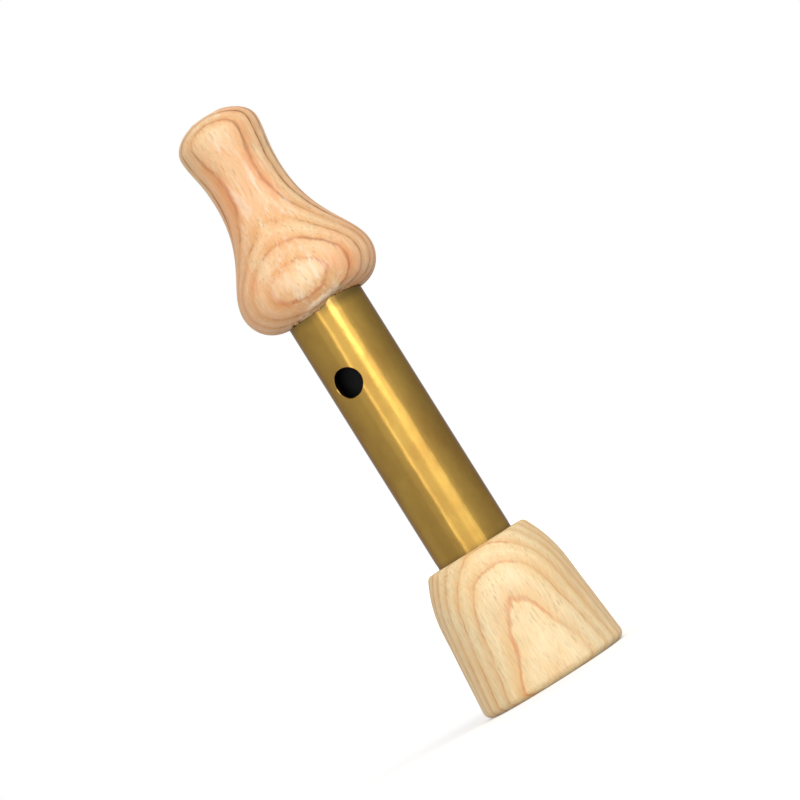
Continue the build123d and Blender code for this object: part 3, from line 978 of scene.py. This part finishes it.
# %% [markdown]
# Metal shows its surroundings, so the tube gets two cards that only reflections see. Each is a strip of faces
# whose glow follows the turn round the call.

# %% A card for reflections
def card(name, near, far):
    """A strip between two edges, for reflections alone. Gives its tree, its shader, and the turn round the
    call's axis in radians, from the viewer's side towards the right."""
    count = len(near)
    mesh = bpy.data.meshes.new(name)
    mesh.from_pydata(near + far, [], [(i, i + 1, count + i + 1, count + i) for i in range(count - 1)])
    made = bpy.data.objects.new(name, mesh)
    made.visible_camera = made.visible_diffuse = made.visible_transmission = made.visible_shadow = False
    scene.collection.objects.link(made)
    paint, tree, shader, spot = new_material(name + "_grey", unit=1.0)
    mesh.materials.append(paint)
    feed(tree, shader, {"Base Color": (0, 0, 0, 1), "Specular IOR Level": 0.0,
                        "Emission Color": (1, 1, 1, 1)})
    return tree, shader, turn_from(tree, spot, VIEW_AZIMUTH)


print("cards are turned from, degrees:", VIEW_AZIMUTH)

# %% [markdown]
# An upright screen bends round the sides and the back, and is open in front, where the lamps stand. It is
# bright next to them and grey behind, so the brass darkens smoothly towards both edges, sooner on the left.

# %% Bent screen
SCREEN_RADIUS, SCREEN_TALL = 1.2, 1.1
SCREEN_TURNS = range(42, 331, 4)  # degrees from the viewer, over the right side and the back
RIGHT_TURNS, RIGHT_BRIGHT, RIGHT_GREY = (18, 118), 1.5, 0.62
LEFT_TURNS, LEFT_LEAST = (-180, 60), 0.413  # a share of the right side's glow, from the back to the front
screen_foot = [across_and_towards(VIEW_AZIMUTH + a)[1] * SCREEN_RADIUS for a in SCREEN_TURNS]
screen_top = [spot + Vector((0, 0, SCREEN_TALL)) for spot in screen_foot]
screen, screen_shader, screen_turn = card("bent_screen", screen_foot, screen_top)
left_side = add(screen, RANGE, [screen_turn, *map(math.radians, LEFT_TURNS), LEFT_LEAST])
right_side = add(screen, RANGE, [screen_turn, *map(math.radians, RIGHT_TURNS), RIGHT_BRIGHT, RIGHT_GREY],
                 interpolation_type="SMOOTHSTEP")
falling = add(screen, MATH, [left_side, right_side], "MULTIPLY")
feed(screen, screen_shader, {"Emission Strength": falling})
print("screen steps:", len(screen_foot))

# %% [markdown]
# From higher up the tube mirrors the floor, and on an even white floor it would look painted. A round card
# with three soft grey wedges lies there, and the wedges come back as soft bands along the brass.

# %% Round card
CARD_NEAR, CARD_FAR, CARD_LIFT = 0.03, 0.9, Vector((0, 0, 0.5 * MM))
WEDGES, WEDGE_DARK, WEDGE_LIGHT = 3, 0.5, 1.2
WEDGE_EDGES = -0.7, 0.9  # of the cosine's swing, between which a wedge turns light
card_ways = [across_and_towards(a)[1] for a in range(0, 361, 5)]
wedged, wedged_shader, wedged_turn = card("round_card", [way * CARD_NEAR + CARD_LIFT for way in card_ways],
                                          [way * CARD_FAR + CARD_LIFT for way in card_ways])
thrice = add(wedged, MATH, [wedged_turn, WEDGES], "MULTIPLY")
swing = add(wedged, MATH, [thrice], "COSINE")
soft = add(wedged, RANGE, [swing, *WEDGE_EDGES, WEDGE_DARK, WEDGE_LIGHT], interpolation_type="SMOOTHSTEP")
feed(wedged, wedged_shader, {"Emission Strength": soft})
print("wedges on the round card:", WEDGES)

# %% [markdown]
# The camera stands where the picture was taken, just above the bell. It is rolled so that the upright call
# leans to the left, as it does in the picture.

# %% Where the camera stands
LEAN = math.radians(32.06)
CAMERA_DISTANCE, CAMERA_HEIGHT = 0.8, 37.0 * MM
AIM_HEIGHT, AIM_ASIDE = 60.37 * MM, 2.8 * MM
aim = right * AIM_ASIDE + Vector((0, 0, AIM_HEIGHT))
stand = towards * CAMERA_DISTANCE + right * AIM_ASIDE + Vector((0, 0, CAMERA_HEIGHT))
back = (stand - aim).normalized()
level_right = Vector((0, 0, 1)).cross(back).normalized()
level_up = back.cross(level_right)
rolled_right = level_right * math.cos(LEAN) - level_up * math.sin(LEAN)
rolled_up = level_right * math.sin(LEAN) + level_up * math.cos(LEAN)
print("camera to call, m:", round((stand - aim).length, 4))

# %% Camera
FRAME_WIDTH = 151.84 * MM  # what the picture spans at the call
SENSOR = 36.0  # mm
camera_data = bpy.data.cameras.new("camera")
camera_data.sensor_width = SENSOR
camera_data.lens = SENSOR * (stand - aim).length / FRAME_WIDTH
camera = bpy.data.objects.new("camera", camera_data)
scene.collection.objects.link(camera)
camera.matrix_world = Matrix((
    (rolled_right.x, rolled_up.x, back.x, stand.x),
    (rolled_right.y, rolled_up.y, back.y, stand.y),
    (rolled_right.z, rolled_up.z, back.z, stand.z),
    (0, 0, 0, 1)))
scene.camera = camera
scene.view_settings.view_transform = "Standard"
print("lens, mm:", round(camera_data.lens, 1))
